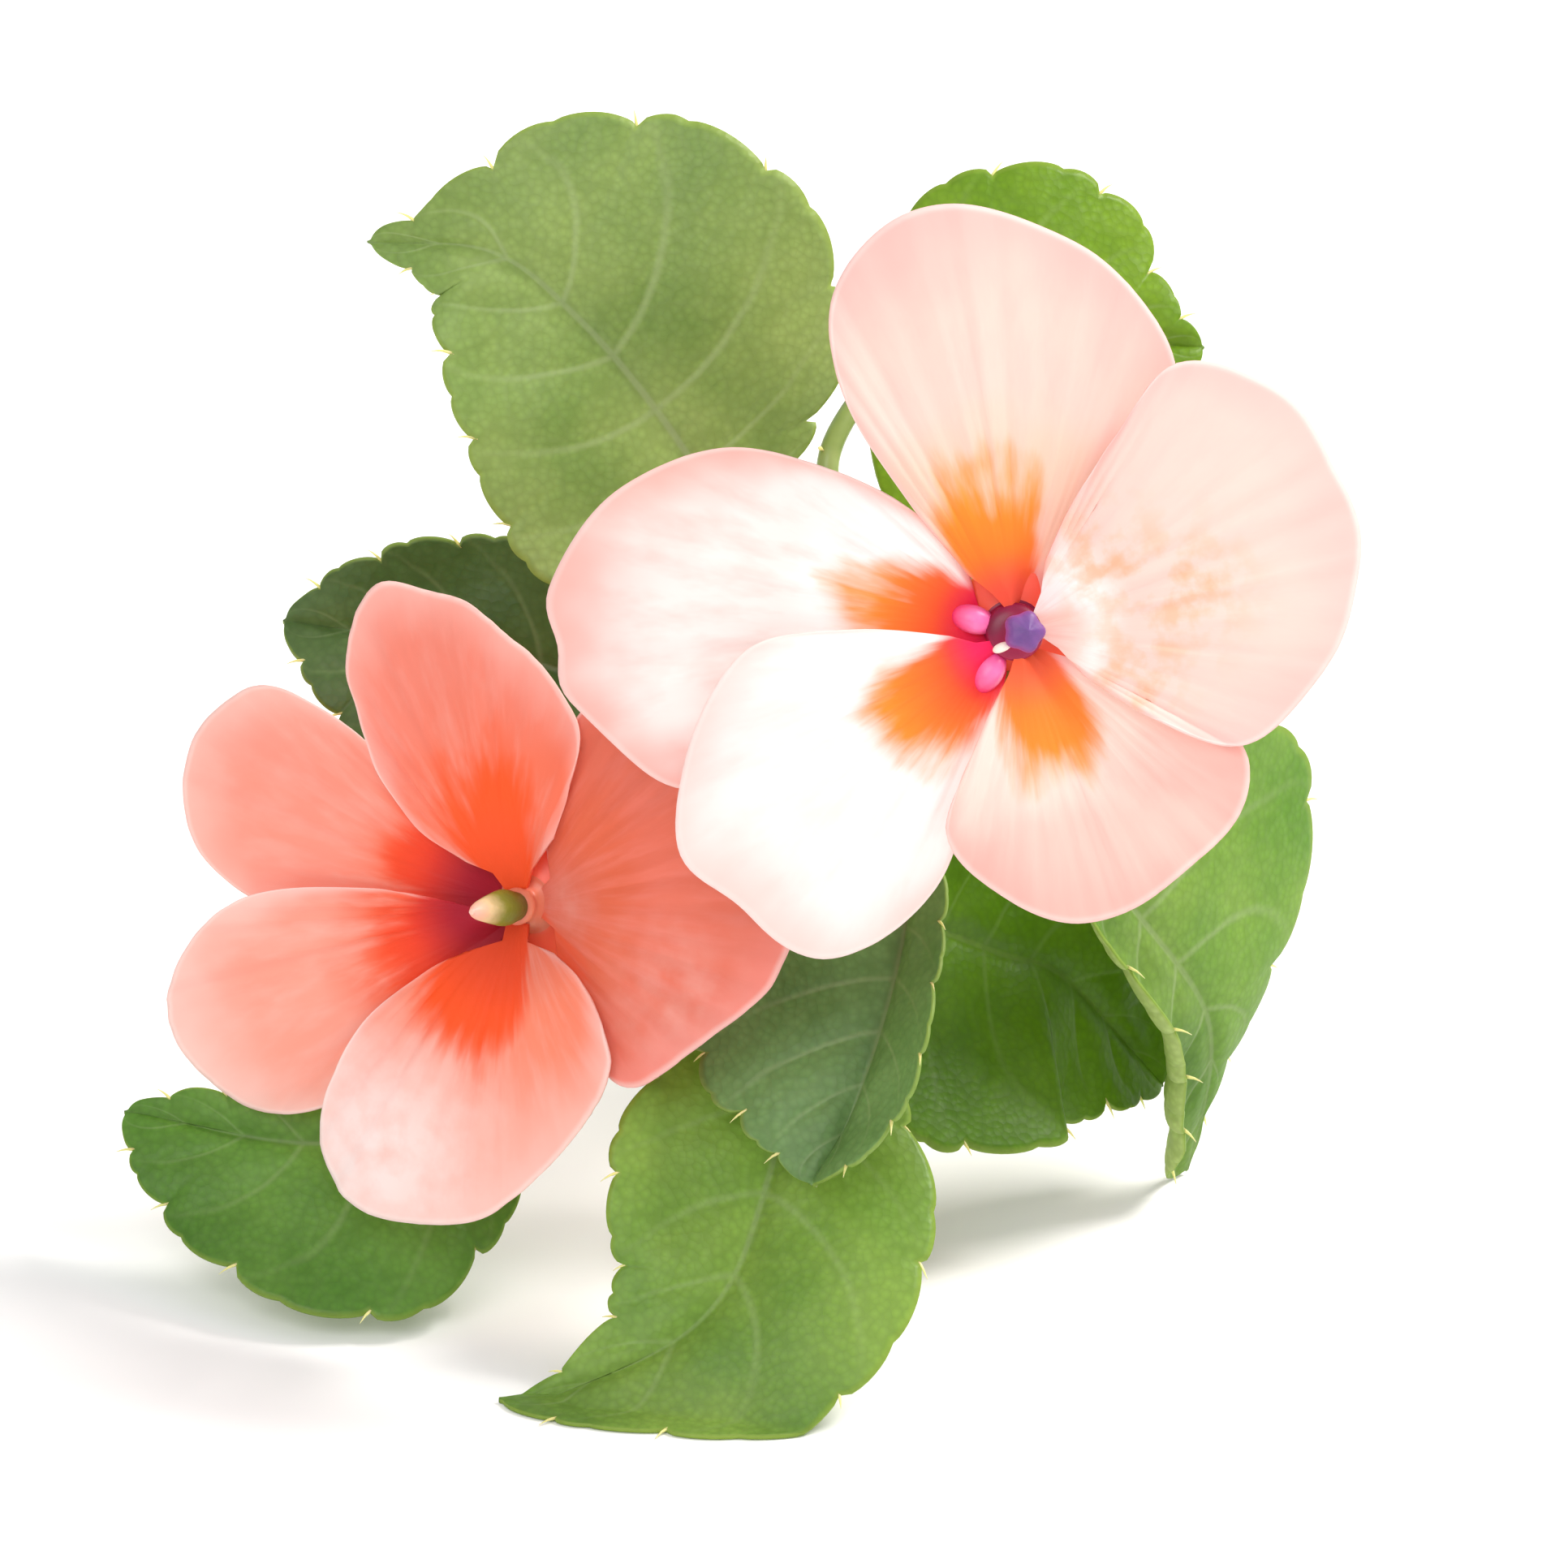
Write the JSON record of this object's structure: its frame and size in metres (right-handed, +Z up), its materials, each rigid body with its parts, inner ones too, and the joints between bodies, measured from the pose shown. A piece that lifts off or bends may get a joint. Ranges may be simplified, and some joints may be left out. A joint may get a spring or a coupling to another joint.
{
  "type": "busy lizzie",
  "caption": "Cut sprig of busy lizzie with bicoloured flat flowers facing forward, toothed leaves and a bare stem, lying on a surface.",
  "frame": {"origin": "middle of the bounding box's bottom, on the surface that the sprig lies on", "axes": "+Z up; the flowers face -Y and a little up; the stem runs back along +Y to its cut end"},
  "size_m": [0.0628, 0.0871, 0.0607],
  "materials": {
    "petal_peach": "soft satin, near-white pink with orange flares at the throat",
    "petal_salmon": "soft satin, salmon pink with orange-red streaks",
    "leaf": "faintly waxy green with pale veins",
    "stem": "smooth, juicy, pale green",
    "anther": "matt purple on a pale column",
    "pistil": "smooth green with a pink tip"
  },
  "bodies": {
    "root": {"stem": "stem", "leaf_upper_left": "leaf", "leaf_upper_right": "leaf", "leaf_back_left": "leaf", "leaf_lower_left": "leaf", "leaf_front_low": "leaf", "leaf_front_middle": "leaf", "leaf_lower_right": "leaf", "leaf_right": "leaf", "peach_petal_standard": "petal_peach", "peach_petal_upper": "petal_peach", "peach_petal_left": "petal_peach", "peach_petal_lower_left": "petal_peach", "peach_petal_lower_right": "petal_peach", "peach_spur_sepal": "stem", "peach_lateral_sepal_left": "stem", "peach_lateral_sepal_right": "stem", "peach_pedicel": "stem", "salmon_petal_standard": "petal_salmon", "salmon_petal_upper": "petal_salmon", "salmon_petal_left": "petal_salmon", "salmon_petal_lower_left": "petal_salmon", "salmon_petal_lower_right": "petal_salmon", "salmon_spur_sepal": "stem", "salmon_lateral_sepal_left": "stem", "salmon_lateral_sepal_right": "stem", "salmon_pedicel": "stem", "peach_anther_cap": "anther", "salmon_pistil": "pistil"}
  },
  "joints": []
}
